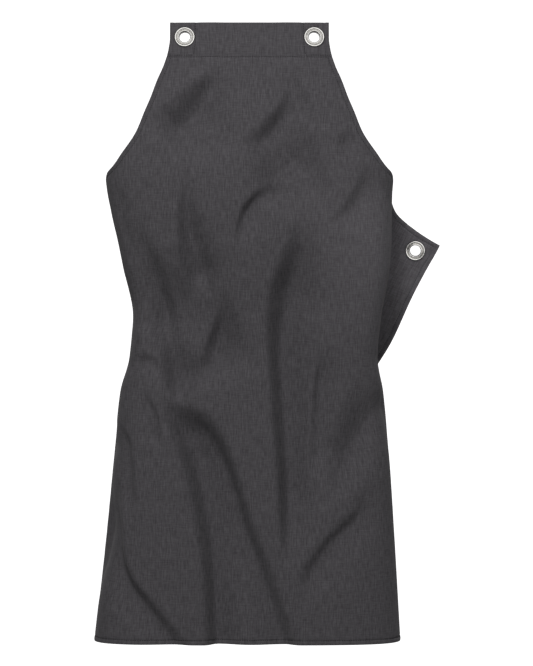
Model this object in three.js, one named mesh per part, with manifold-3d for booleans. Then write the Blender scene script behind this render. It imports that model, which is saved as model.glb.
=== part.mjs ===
import * as THREE from 'three';
import { mergeVertices } from 'three/addons/utils/BufferGeometryUtils.js';
import Module from 'manifold-3d';

const wasm = await Module();
wasm.setup();

// Bib apron in its worn form, in millimetres.
// The origin lies midway between the two top eyelets, +X to the viewer's right, +Z up, front towards -Y.
// The cloth is described flat by u, sideways from the centre line, and v, down from the top edge.

// Driving sizes of the cut
const TOP_EDGE = 19;
const LENGTH = 796;
const HALF_WIDTH = 362;
const CORNER_V = 244;
const FACING_DEPTH = 45;
const HEM_WIDTH = 7;

// Layers
const CLOTH = 1;
const GAP = 0.3;
const SECOND_LAYER = CLOTH + GAP;
const THIRD_LAYER = 2 * SECOND_LAYER;

// Half width of the flat cut at each depth below the top edge: neck corner, armhole curve, waist corner
const OUTLINE_COLUMNS = ['v', 'half'];
const OUTLINE = [
  [0, 102],
  [20, 102],
  [36, 104],
  [56, 110],
  [74, 118],
  [98, 127],
  [114, 134],
  [142, 146],
  [168, 166],
  [185, 184],
  [195, 212],
  [210, 252],
  [224, 285],
  [238, 325],
  [243, 350],
  [CORNER_V, HALF_WIDTH],
];

// Worn sections from top to bottom: depth of the front centre and of the widest line, half widths to the
// left and right, how far each side curls round to the back in degrees, and on the right how far the free
// corner flares out again in degrees, where along the cloth that starts and how steeply its rows drop
const SECTION_COLUMNS = [
  'z', 'front', 'side', 'left', 'right', 'curlLeft', 'curlRight', 'flare', 'start', 'drop',
];
const SECTIONS = [
  [19, -1, 50, 158, 158, 20, 10, 0, 20, 0],
  [-60, -17, 55, 176, 174, 25, 10, 60, 20, 0.35],
  [-130, -31, 58, 185, 182, 35, 10, 80, 6, 0.4],
  [-180, -37, 60, 186, 186, 40, 20, 90, 6, 0.4],
  [-225, -36, 60, 179, 185, 46, 60, 134, 18, 0.4],
  [-260, -33, 60, 171, 184, 50, 90, 168, 29, 0.4],
  [-300, -28, 60, 163, 181, 55, 120, 200, 39, 0.38],
  [-358, -20, 60, 152, 171, 62, 130, 205, 54, 0.34],
  [-410, -17, 60, 156, 166, 60, 125, 190, 67, 0.26],
  [-455, -18, 63, 168, 174, 54, 105, 150, 74, 0.17],
  [-520, -21, 66, 175, 180, 48, 80, 60, 86, 0.05],
  [-640, -26, 70, 187, 188, 42, 48, 0, 110, 0],
  [-777, -31, 76, 202, 196, 36, 34, 0, 130, 0],
];
const SQUARENESS = 4;
const FLARE_TURN = 56;
const DROP_TURN = 36;
const PLAN_REACH = 440;
const LEAST_REAR = 40;
const MOST_CURL = 1.3;
const QUARTER_STEPS = 300;
const NORMAL_STEP = 3;

// Main folds on the front: the cloth falls back by this much across a band along the path, and recovers
// beyond it, sooner where the fold fades; fades are shares of the path; path points are x, z and half the
// band
const FOLD_COLUMNS = ['name', 'fall', 'recover', 'fadeIn', 'fadeOut', 'path'];
const FOLDS = [
  ['bib_left_sweep', 14, 40, 0.5, 0.3, [[-27, -29, 12], [-54, -63, 13], [-81, -92, 20], [-124, -131, 21]]],
  ['bib_centre_sweep', 9, 45, 0.5, 0.4, [[51, -59, 12], [29, -108, 12], [11, -127, 13], [-17, -143, 13]]],
  ['bib_under_sweep', 9, 50, 0.4, 0.4, [[88, -120, 21], [37, -154, 23], [-14, -184, 23]]],
  ['crescent', 6, 30, 0.5, 0.4, [[70, -189, 12], [11, -203, 12], [-3, -217, 12], [-18, -279, 12]]],
  ['waist_left_hollow', 15, 80, 0.5, 0.3, [[-4, -307, 43], [-150, -315, 48]]],
  ['chest_left', 13, 36, 0.35, 0.35, [[-85, -169, 12], [-85, -235, 12], [-76, -302, 14], [-71, -345, 16]]],
  ['side_left', 16, 45, 0.5, 0.25, [[-143, -141, 12], [-138, -254, 12], [-124, -324, 15], [-115, -411, 15]]],
  ['centre_drop', 16, 34, 0.25, 0.25, [[68, -217, 12], [53, -276, 13], [34, -350, 14], [33, -426, 13],
    [42, -567, 13], [42, -694, 13]]],
  ['waist_left_wedge', 14, 26, 0.45, 0.3, [[-30, -327, 12], [-40, -369, 12], [-41, -404, 15],
    [-27, -483, 20]]],
  ['long_sweep', 15, 34, 0.05, 0.15, [[65, -803, 14], [19, -671, 13], [-25, -544, 13], [-53, -492, 13],
    [-94, -449, 13], [-116, -375, 12]]],
  ['left_drop', 16, 30, 0.2, 0.03, [[-119, -455, 12], [-83, -541, 13], [-60, -643, 13], [-49, -803, 13]]],
  ['left_hem_swing', 9, 24, 0.05, 0.3, [[-69, -796, 13], [-153, -694, 12], [-171, -554, 12]]],
  ['hip_shelf', 17, 26, 0.1, 0.4, [[192, -419, 20], [147, -465, 25], [126, -511, 22], [98, -618, 12]]],
  ['right_hem_swing', 8, 26, 0.35, 0.35, [[151, -564, 12], [112, -632, 12], [57, -735, 12]]],
];
const FOLD_EDGE_FADE = 24;
const LEAST_RECOVERY = 0.3;
const FOLD_PATH_STEPS = 10;
const FOLD_PATH_TENSION = 0.5;

// Mesh of the panel: cells across each side, crowded towards the free right corner, and down each part
const LEFT_CELLS = 16;
const RIGHT_CELLS = 21;
const RIGHT_CROWDING = 0.22;
const FACING_ROWS = 3;
const ARMHOLE_ROWS = 19;
const ARMHOLE_STEPS = 400;
const SKIRT_ROWS = 19;
const CORNER_CENTRE = 360;
const EDGE_STEP = 1;
const PATCH_CELLS_LEFT = 5;
const PATCH_CELLS_RIGHT = 6;

// Eyelets: flat place of each centre, and how many cloth layers it clamps
const EYELET_COLUMNS = ['name', 'u', 'v', 'layers'];
const EYELETS = [
  ['top_left', -83, 19, 3],
  ['top_right', 83, 19, 3],
  ['waist_left', -338, 263, 1],
  ['waist_right', 338, 263, 1],
];
const HOLE_RADIUS = 7;
const BARREL_RADIUS = 7.6;
const FLANGE_RADIUS = 13.5;
const FLANGE_EDGE_IN = 0.8;
const FLANGE_EDGE_HEIGHT = 1.8;
const RIM_IN = 2.3;
const RIM_HEIGHT = 2.3;
const GROOVE_IN = 3.9;
const GROOVE_HEIGHT = 1.5;
const LIP_OUT = 1.3;
const LIP_HEIGHT = 1.9;
const BORE_HEIGHT = 0.6;
const ROLL_RADIUS = 9.6;
const ROLL_THICKNESS = 0.8;
const ROLL_LIP_OUT = 0.5;
const WASHER_INNER = 7.9;
const WASHER_SEAT = 10;
const WASHER_OUTER = 12.5;
const WASHER_THICKNESS = 0.8;
const CUT_RADIUS = 7.9;
const CUT_LENGTH = 24;
const RING_SIDES = 16;
const SEAT_FLAT = 30;
const SEAT_BLEND = 58;

function rowsOf(table, columns) {
  return table.map((row) => Object.fromEntries(columns.map((name, i) => [name, row[i]])));
}

function clamp(value, low, high) {
  return Math.min(Math.max(value, low), high);
}

function smooth(value) {
  const t = clamp(value, 0, 1);
  return t * t * (3 - 2 * t);
}

// Smooth curve through points with rising places, which never overshoots between them
function curveThrough(places, values) {
  const last = places.length - 1;
  const step = [];
  const rate = [];
  for (let i = 0; i < last; i += 1) {
    step.push(places[i + 1] - places[i]);
    rate.push((values[i + 1] - values[i]) / step[i]);
  }
  const slope = [rate[0]];
  for (let i = 1; i < last; i += 1) {
    const before = step[i - 1] + 2 * step[i];
    const after = 2 * step[i - 1] + step[i];
    const rises = rate[i - 1] * rate[i] > 0;
    slope.push(rises ? (before + after) / (before / rate[i - 1] + after / rate[i]) : 0);
  }
  slope.push(rate[last - 1]);
  return (place) => {
    let i = 0;
    while (i < last - 1 && place > places[i + 1]) {
      i += 1;
    }
    const t = clamp((place - places[i]) / step[i], 0, 1);
    const s = 1 - t;
    const start = (1 + 2 * t) * s * s * values[i] + t * s * s * step[i] * slope[i];
    const end = t * t * (3 - 2 * t) * values[i + 1] - t * t * s * step[i] * slope[i + 1];
    return start + end;
  };
}

const outlineRows = rowsOf(OUTLINE, OUTLINE_COLUMNS);
const outlineCurve = curveThrough(outlineRows.map((row) => row.v), outlineRows.map((row) => row.half));
const sectionRows = rowsOf(SECTIONS, SECTION_COLUMNS).reverse();
const sectionPlaces = sectionRows.map((row) => row.z);
const sectionCurves = Object.fromEntries(
  SECTION_COLUMNS.map((name) => [name, curveThrough(sectionPlaces, sectionRows.map((row) => row[name]))]),
);

function halfWidth(v) {
  return v >= CORNER_V ? HALF_WIDTH : outlineCurve(v);
}

// Plan of one worn row: places along the cloth from the front centre, with x, y and drop at each
const plans = new Map();

function planOf(z, side) {
  const key = `${z.toFixed(3)}/${side}`;
  if (plans.has(key)) {
    return plans.get(key);
  }
  const at = (name) => sectionCurves[name](z);
  const width = side > 0 ? at('right') : at('left');
  const depth = at('side') - at('front');
  const plan = { s: [0], x: [0], y: [at('front')], drop: [0] };
  for (let i = 1; i <= QUARTER_STEPS; i += 1) {
    const angle = (Math.PI / 2) * (i / QUARTER_STEPS);
    const x = width * Math.sin(angle) ** (2 / SQUARENESS);
    const y = at('side') - depth * Math.max(Math.cos(angle), 0) ** (2 / SQUARENESS);
    plan.s.push(plan.s[i - 1] + Math.hypot(x - plan.x[i - 1], y - plan.y[i - 1]));
    plan.x.push(x);
    plan.y.push(y);
    plan.drop.push(0);
  }
  plan.quarter = plan.s[QUARTER_STEPS];
  const reach = Math.max(HALF_WIDTH - plan.quarter, LEAST_REAR);
  const curl = THREE.MathUtils.degToRad(side > 0 ? at('curlRight') : at('curlLeft'));
  const flare = side > 0 ? THREE.MathUtils.degToRad(at('flare')) : 0;
  let x = width;
  let y = at('side');
  for (let rear = 0; plan.quarter + rear < PLAN_REACH; rear += 1) {
    const curled = curl * Math.min(rear / reach, MOST_CURL);
    const turned = curled - flare * smooth((rear - at('start')) / FLARE_TURN);
    x -= Math.sin(turned);
    y += Math.cos(turned);
    plan.s.push(plan.quarter + rear + 1);
    plan.x.push(x);
    plan.y.push(y);
    const dropped = rear + 1 - at('start');
    plan.drop.push(side > 0 ? at('drop') * dropped * smooth(dropped / DROP_TURN) : 0);
  }
  plans.set(key, plan);
  return plan;
}

function wornPoint(u, v) {
  const z = TOP_EDGE - v;
  const side = u < 0 ? -1 : 1;
  const plan = planOf(z, side);
  const s = Math.abs(u);
  let low = 0;
  let high = plan.s.length - 1;
  while (high - low > 1) {
    const middle = (low + high) >> 1;
    if (plan.s[middle] <= s) {
      low = middle;
    } else {
      high = middle;
    }
  }
  const t = (s - plan.s[low]) / (plan.s[high] - plan.s[low]);
  const mix = (list) => list[low] + t * (list[high] - list[low]);
  return new THREE.Vector3(side * mix(plan.x), mix(plan.y), z - mix(plan.drop));
}

function wornNormal(u, v) {
  const across = wornPoint(u + NORMAL_STEP, v).sub(wornPoint(u - NORMAL_STEP, v));
  const down = wornPoint(u, v + NORMAL_STEP).sub(wornPoint(u, v - NORMAL_STEP));
  return down.cross(across).normalize();
}

// Folds: how far the front lies behind its smooth form
const folds = rowsOf(FOLDS, FOLD_COLUMNS).map((fold) => {
  const corners = fold.path.map((p) => new THREE.Vector3(...p));
  const curve = new THREE.CatmullRomCurve3(corners, false, 'catmullrom', FOLD_PATH_TENSION);
  const points = curve.getPoints(FOLD_PATH_STEPS * (fold.path.length - 1));
  const lengths = [0];
  for (let i = 1; i < points.length; i += 1) {
    lengths.push(lengths[i - 1] + Math.hypot(points[i].x - points[i - 1].x, points[i].y - points[i - 1].y));
  }
  return { ...fold, points, lengths };
});

function foldFall(fold, x, z) {
  let nearest = Infinity;
  let offset = 0;
  let share = 0;
  let band = 1;
  for (let i = 0; i < fold.points.length - 1; i += 1) {
    const a = fold.points[i];
    const b = fold.points[i + 1];
    const dx = b.x - a.x;
    const dz = b.y - a.y;
    const t = clamp(((x - a.x) * dx + (z - a.y) * dz) / (dx * dx + dz * dz), 0, 1);
    const distance = Math.hypot(x - a.x - t * dx, z - a.y - t * dz);
    if (distance < nearest) {
      nearest = distance;
      offset = dx * (z - a.y) - dz * (x - a.x) >= 0 ? distance : -distance;
      share = (fold.lengths[i] + t * (fold.lengths[i + 1] - fold.lengths[i])) / fold.lengths.at(-1);
      band = a.z + t * (b.z - a.z);
    }
  }
  const fades = smooth(share / fold.fadeIn) * smooth((1 - share) / fold.fadeOut);
  const recover = fold.recover * (LEAST_RECOVERY + (1 - LEAST_RECOVERY) * fades);
  const beyond = Math.max(offset - band, 0) / recover;
  return fold.fall * fades * smooth((offset + band) / (2 * band)) * Math.exp(-beyond * beyond);
}

// Flat seats under the eyelets
const seats = rowsOf(EYELETS, EYELET_COLUMNS).map((eyelet) => ({
  ...eyelet,
  centre: wornPoint(eyelet.u, eyelet.v),
  normal: wornNormal(eyelet.u, eyelet.v),
}));

function clothPoint(u, v) {
  const point = wornPoint(u, v);
  const plan = planOf(TOP_EDGE - v, u < 0 ? -1 : 1);
  const fade = smooth((plan.quarter - Math.abs(u)) / FOLD_EDGE_FADE);
  if (fade > 0) {
    const fall = folds.reduce((sum, fold) => sum + foldFall(fold, point.x, point.z), 0);
    point.addScaledVector(wornNormal(u, v), -fall * fade);
  }
  for (const seat of seats) {
    const away = Math.hypot(u - seat.u, v - seat.v);
    const hold = 1 - smooth((away - SEAT_FLAT) / (SEAT_BLEND - SEAT_FLAT));
    const height = point.clone().sub(seat.centre).dot(seat.normal);
    point.addScaledVector(seat.normal, -height * hold);
  }
  return point;
}

// How the armhole edge slants sideways for each step down, and which way its hem lies in from it
function edgeInward(v) {
  const slant = halfWidth(v + EDGE_STEP / 2) - halfWidth(v - EDGE_STEP / 2);
  const u = EDGE_STEP / Math.hypot(EDGE_STEP, slant);
  return { u, v: (slant / EDGE_STEP) * u };
}

// At the waist corner the hems meet in a mitre, which fades out down the side
const cornerInward = edgeInward(CORNER_V - EDGE_STEP);
const MITRE = (1 - cornerInward.u) / cornerInward.v;

function inwardAt(v) {
  if (v < CORNER_V) {
    return edgeInward(v);
  }
  return { u: 1, v: MITRE * (1 - (v - CORNER_V) / (LENGTH - CORNER_V)) };
}

// Rows of the panel's mesh: straight at the facing and the bottom, and hung between the edges elsewhere, so
// that they fan out along the armholes
function meshRows() {
  const rows = [];
  for (let row = 0; row < FACING_ROWS; row += 1) {
    const v = (FACING_DEPTH * row) / FACING_ROWS;
    rows.push({ edge: v, centre: v });
  }
  const vAt = (share) => FACING_DEPTH + (CORNER_V - FACING_DEPTH) * share;
  const lengths = [0];
  for (let i = 1; i <= ARMHOLE_STEPS; i += 1) {
    const [above, below] = [vAt((i - 1) / ARMHOLE_STEPS), vAt(i / ARMHOLE_STEPS)];
    lengths.push(lengths[i - 1] + Math.hypot(below - above, halfWidth(below) - halfWidth(above)));
  }
  let i = 0;
  for (let row = 0; row < ARMHOLE_ROWS; row += 1) {
    while (lengths[i] < (lengths[ARMHOLE_STEPS] * row) / ARMHOLE_ROWS) {
      i += 1;
    }
    const centre = FACING_DEPTH + ((CORNER_CENTRE - FACING_DEPTH) * row) / ARMHOLE_ROWS;
    rows.push({ edge: vAt(i / ARMHOLE_STEPS), centre });
  }
  const seam = LENGTH - HEM_WIDTH;
  for (let row = 0; row <= SKIRT_ROWS; row += 1) {
    const share = row / SKIRT_ROWS;
    const edge = CORNER_V + (seam - CORNER_V) * share;
    rows.push({ edge, centre: CORNER_CENTRE + (seam - CORNER_CENTRE) * share });
  }
  rows.push({ edge: LENGTH, centre: LENGTH });
  return rows;
}

// Flat places along one row, with a hem's width between the last two on each side
function rowPlaces({ edge, centre }) {
  const half = halfWidth(edge);
  const inward = inwardAt(edge);
  const inner = { u: half - HEM_WIDTH * inward.u, v: edge + HEM_WIDTH * inward.v };
  const place = (share) => [inner.u * share, centre + (inner.v - centre) * share * share];
  const places = [[-half, edge]];
  for (let i = 0; i < LEFT_CELLS; i += 1) {
    places.push(place(i / LEFT_CELLS - 1));
  }
  for (let i = 0; i <= RIGHT_CELLS; i += 1) {
    const share = i / RIGHT_CELLS;
    places.push(place(share * (1 + RIGHT_CROWDING * (1 - share))));
  }
  places.push([half, edge]);
  return places;
}

const outer = meshRows().map((row) => rowPlaces(row).map(([u, v]) => clothPoint(u, v)));
const rowCount = outer.length;
const columnCount = outer[0].length;
const normals = outer.map((row) => row.map(() => new THREE.Vector3()));

for (let r = 0; r < rowCount - 1; r += 1) {
  for (let c = 0; c < columnCount - 1; c += 1) {
    const cell = [[r, c], [r + 1, c], [r + 1, c + 1], [r, c + 1]];
    const falling = outer[r + 1][c + 1].clone().sub(outer[r][c]);
    const rising = outer[r][c + 1].clone().sub(outer[r + 1][c]);
    const facing = falling.cross(rising).normalize();
    cell.forEach(([i, j]) => normals[i][j].add(facing));
  }
}
normals.flat().forEach((normal) => normal.normalize());

// Whether a cell's shorter diagonal runs down to the right
function fallsShorter(r, c) {
  const falling = outer[r][c].distanceTo(outer[r + 1][c + 1]);
  const rising = outer[r + 1][c].distanceTo(outer[r][c + 1]);
  return falling < rising;
}

// Closed wall over a block of the panel's cells, between two depths behind its front face
// The block's top and bottom may be trimmed back to leave a gap to its neighbours
function wall(block, near, far) {
  const [r0, r1] = block.rows;
  const [c0, c1] = block.columns;
  const { trimTop = 0, trimBottom = 0 } = block;
  const across = c1 - c0 + 1;
  const down = r1 - r0 + 1;
  const place = (r, c, depth) => {
    const point = outer[r][c].clone().addScaledVector(normals[r][c], -depth);
    const pullTo = (row, trim) => {
      const along = outer[row][c].clone().addScaledVector(normals[row][c], -depth).sub(point);
      point.addScaledVector(along, trim / along.length());
    };
    if (r === r0 && trimTop > 0) {
      pullTo(r + 1, trimTop);
    }
    if (r === r1 && trimBottom > 0) {
      pullTo(r - 1, trimBottom);
    }
    return point.toArray();
  };
  const positions = [];
  for (const depth of [near, far]) {
    for (let r = r0; r <= r1; r += 1) {
      for (let c = c0; c <= c1; c += 1) {
        positions.push(...place(r, c, depth));
      }
    }
  }
  const front = (r, c) => r * across + c;
  const back = (r, c) => across * down + r * across + c;
  const index = [];
  const rim = (p, q) => {
    index.push(front(...p), front(...q), back(...p));
    index.push(front(...q), back(...q), back(...p));
  };
  for (let r = 0; r < down - 1; r += 1) {
    for (let c = 0; c < across - 1; c += 1) {
      const corners = [[r, c], [r + 1, c], [r + 1, c + 1], [r, c + 1]];
      const [a, b, d, e] = fallsShorter(r0 + r, c0 + c) ? corners : [...corners.slice(1), corners[0]];
      index.push(front(...a), front(...b), front(...d));
      index.push(front(...a), front(...d), front(...e));
      index.push(back(...a), back(...d), back(...b));
      index.push(back(...a), back(...e), back(...d));
    }
  }
  for (let c = 0; c < across - 1; c += 1) {
    rim([0, c], [0, c + 1]);
    rim([down - 1, c + 1], [down - 1, c]);
  }
  for (let r = 0; r < down - 1; r += 1) {
    rim([r + 1, 0], [r, 0]);
    rim([r, across - 1], [r + 1, across - 1]);
  }
  const geometry = new THREE.BufferGeometry();
  geometry.setAttribute('position', new THREE.Float32BufferAttribute(positions, 3));
  geometry.setIndex(index);
  return geometry;
}

function solidOf(geometry) {
  const bare = geometry.clone();
  bare.deleteAttribute('normal');
  bare.deleteAttribute('uv');
  const merged = mergeVertices(bare, 1e-4);
  const mesh = new wasm.Mesh({
    numProp: 3,
    vertProperties: new Float32Array(merged.attributes.position.array),
    triVerts: new Uint32Array(merged.index.array),
  });
  return new wasm.Manifold(mesh);
}

function geometryOf(solid) {
  const mesh = solid.getMesh();
  const geometry = new THREE.BufferGeometry();
  geometry.setAttribute('position', new THREE.BufferAttribute(new Float32Array(mesh.vertProperties), 3));
  geometry.setIndex(new THREE.BufferAttribute(new Uint32Array(mesh.triVerts), 1));
  return geometry;
}

// Stands a shape made along +Y on an eyelet's seat
function onSeat(geometry, seat) {
  const turn = new THREE.Quaternion().setFromUnitVectors(new THREE.Vector3(0, 1, 0), seat.normal);
  geometry.applyQuaternion(turn);
  geometry.translate(...seat.centre.toArray());
  return geometry;
}

function withEyeletHoles(geometry, names) {
  let solid = solidOf(geometry);
  for (const seat of seats.filter((one) => names.includes(one.name))) {
    const cutter = onSeat(new THREE.CylinderGeometry(CUT_RADIUS, CUT_RADIUS, CUT_LENGTH, RING_SIDES), seat);
    solid = solid.subtract(solidOf(cutter));
  }
  return geometryOf(solid);
}

function ring(profile, seat) {
  const points = profile.map(([radius, height]) => new THREE.Vector2(radius, height));
  points.push(points[0].clone());
  return onSeat(geometryOf(solidOf(new THREE.LatheGeometry(points, RING_SIDES))), seat);
}

// Depth behind the front face at which the clamped layers end
function clampedDepth(seat) {
  return seat.layers * CLOTH + (seat.layers - 1) * GAP;
}

function eyeletRing(seat) {
  const rollFront = -(clampedDepth(seat) + 2 * GAP + WASHER_THICKNESS);
  const rollBack = rollFront - ROLL_THICKNESS;
  return ring([
    [FLANGE_RADIUS, GAP],
    [FLANGE_RADIUS - FLANGE_EDGE_IN, FLANGE_EDGE_HEIGHT],
    [FLANGE_RADIUS - RIM_IN, RIM_HEIGHT],
    [FLANGE_RADIUS - GROOVE_IN, GROOVE_HEIGHT],
    [HOLE_RADIUS + LIP_OUT, LIP_HEIGHT],
    [HOLE_RADIUS, BORE_HEIGHT],
    [HOLE_RADIUS, rollFront],
    [HOLE_RADIUS + ROLL_LIP_OUT, rollBack],
    [ROLL_RADIUS, rollBack],
    [BARREL_RADIUS, rollFront],
    [BARREL_RADIUS, GAP],
  ], seat);
}

function washerRing(seat) {
  const front = -(clampedDepth(seat) + GAP);
  const back = front - WASHER_THICKNESS;
  return ring([
    [WASHER_OUTER, front],
    [WASHER_INNER, front],
    [WASHER_INNER, back],
    [WASHER_SEAT, back],
    [WASHER_OUTER, back],
  ], seat);
}

const CLOTH_LOOK = { color: 0x434143, roughness: 0.92, metalness: 0 };
const TURNED_LOOK = { color: 0x3e3c3e, roughness: 0.92, metalness: 0 };
const METAL_LOOK = { color: 0xb4b4b2, roughness: 0.3, metalness: 1 };

const group = new THREE.Group();
group.name = 'bib_apron';

function addPiece(name, geometry, look) {
  geometry.computeVertexNormals();
  const mesh = new THREE.Mesh(geometry, new THREE.MeshStandardMaterial(look));
  mesh.name = name;
  group.add(mesh);
}

const lastRow = rowCount - 1;
const lastColumn = columnCount - 1;
const facingRow = FACING_ROWS;
const cornerRow = FACING_ROWS + ARMHOLE_ROWS;
const hemRow = lastRow - 1;
const secondLayer = [SECOND_LAYER, SECOND_LAYER + CLOTH];
const thirdLayer = [THIRD_LAYER, THIRD_LAYER + CLOTH];

const panel = wall({ rows: [0, lastRow], columns: [0, lastColumn] }, 0, CLOTH);
addPiece('apron_panel', withEyeletHoles(panel, seats.map((seat) => seat.name)), CLOTH_LOOK);

const facing = wall({ rows: [0, facingRow], columns: [0, lastColumn] }, ...secondLayer);
addPiece('top_facing', withEyeletHoles(facing, ['top_left', 'top_right']), TURNED_LOOK);

const patchLeft = wall({ rows: [0, facingRow], columns: [0, PATCH_CELLS_LEFT] }, ...thirdLayer);
addPiece('corner_patch_left', withEyeletHoles(patchLeft, ['top_left']), TURNED_LOOK);

const patchRightColumns = [lastColumn - PATCH_CELLS_RIGHT, lastColumn];
const patchRight = wall({ rows: [0, facingRow], columns: patchRightColumns }, ...thirdLayer);
addPiece('corner_patch_right', withEyeletHoles(patchRight, ['top_right']), TURNED_LOOK);

const EDGE_COLUMNS = { left: [0, 1], right: [lastColumn - 1, lastColumn] };
for (const [side, columns] of Object.entries(EDGE_COLUMNS)) {
  const armhole = { rows: [facingRow, cornerRow], columns, trimTop: GAP };
  addPiece(`armhole_hem_${side}`, wall(armhole, ...secondLayer), TURNED_LOOK);
  const edge = { rows: [cornerRow, hemRow], columns, trimTop: GAP, trimBottom: GAP };
  addPiece(`side_hem_${side}`, wall(edge, ...secondLayer), TURNED_LOOK);
}
const bottom = { rows: [hemRow, lastRow], columns: [0, lastColumn] };
addPiece('bottom_hem', wall(bottom, ...secondLayer), TURNED_LOOK);

for (const seat of seats) {
  addPiece(`eyelet_${seat.name}`, eyeletRing(seat), METAL_LOOK);
  addPiece(`washer_${seat.name}`, washerRing(seat), METAL_LOOK);
}

export default group;
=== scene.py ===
import math

import bpy
import numpy as np
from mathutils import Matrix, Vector


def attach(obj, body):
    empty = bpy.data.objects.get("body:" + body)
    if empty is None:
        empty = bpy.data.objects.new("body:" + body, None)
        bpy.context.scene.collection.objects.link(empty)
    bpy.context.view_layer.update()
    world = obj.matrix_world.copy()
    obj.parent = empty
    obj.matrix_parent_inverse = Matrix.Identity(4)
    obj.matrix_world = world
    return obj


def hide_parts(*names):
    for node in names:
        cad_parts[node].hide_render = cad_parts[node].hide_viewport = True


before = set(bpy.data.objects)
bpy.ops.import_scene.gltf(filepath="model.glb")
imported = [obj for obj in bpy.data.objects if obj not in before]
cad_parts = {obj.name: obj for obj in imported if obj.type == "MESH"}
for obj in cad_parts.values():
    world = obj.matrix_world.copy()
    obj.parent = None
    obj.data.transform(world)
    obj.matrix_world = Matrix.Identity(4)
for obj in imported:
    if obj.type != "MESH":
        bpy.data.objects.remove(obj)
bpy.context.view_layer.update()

# Bib apron in its worn form, made from its flat cut
# Cloth sizes are in millimetres: u runs sideways from the centre line, v down from the top edge
# Points go into the scene in metres, with +X to the viewer's right, +Z up and the front towards -Y
MM = 0.001

# Camera: distance, height of the view and its middle in metres, and sensor width in millimetres
VIEW_DISTANCE = 3.8
VIEW_HEIGHT = 0.8558
VIEW_CENTRE = (0.02185, 0.007, -0.3793)
SENSOR = 36.0

# Driving sizes of the cut, as in the solids
TOP_EDGE = 19.0
LENGTH = 796.0
HALF_WIDTH = 362.0
CORNER_V = 244.0
FACING_DEPTH = 45.0
HEM_WIDTH = 7.0
PATCH_WIDTH = 34.0
CLOTH = 1.0
GAP = 0.3
SECOND_LAYER = CLOTH + GAP
THIRD_LAYER = 2 * SECOND_LAYER

# Half width of the flat cut at each depth below the top edge
OUTLINE_COLUMNS = ("v", "half")
OUTLINE = [
    (0, 102), (20, 102), (36, 104), (56, 110), (74, 118), (98, 127), (114, 134), (142, 146),
    (168, 166), (185, 184), (195, 212), (210, 252), (224, 285), (238, 325), (243, 350),
    (CORNER_V, HALF_WIDTH),
]

# Worn sections from top to bottom: depth of the front centre and of the widest line, half widths,
# how far each side curls to the back, and how the free right corner flares out, starts and drops
SECTION_COLUMNS = (
    "z", "front", "side", "left", "right", "curl_left", "curl_right", "flare", "start", "drop",
)
SECTIONS = [
    (19, -1, 50, 158, 158, 20, 10, 0, 20, 0),
    (-60, -17, 55, 176, 174, 25, 10, 60, 20, 0.35),
    (-130, -31, 58, 185, 182, 35, 10, 80, 6, 0.4),
    (-180, -37, 60, 186, 186, 40, 20, 90, 6, 0.4),
    (-225, -36, 60, 179, 185, 46, 60, 134, 18, 0.4),
    (-260, -33, 60, 171, 184, 50, 90, 168, 29, 0.4),
    (-300, -28, 60, 163, 181, 55, 120, 200, 39, 0.38),
    (-358, -20, 60, 152, 171, 62, 130, 205, 54, 0.34),
    (-410, -17, 60, 156, 166, 60, 125, 190, 67, 0.26),
    (-455, -18, 63, 168, 174, 54, 105, 150, 74, 0.17),
    (-520, -21, 66, 175, 180, 48, 80, 60, 86, 0.05),
    (-640, -26, 70, 187, 188, 42, 48, 0, 110, 0),
    (-777, -31, 76, 202, 196, 36, 34, 0, 130, 0),
]

# How square the front's curve is, the reach over which the free corner turns and drops, the least cloth
# behind the silhouette and its most curl, and the steps in which the form is worked out
SQUARENESS = 4.0
FLARE_TURN = 56.0
DROP_TURN = 36.0
PLAN_REACH = 440
LEAST_REAR = 40.0
MOST_CURL = 1.3
QUARTER_STEPS = 300
NORMAL_STEP = 3.0
ROW_MARGIN = 8
TABLE_END = 0.001

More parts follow.
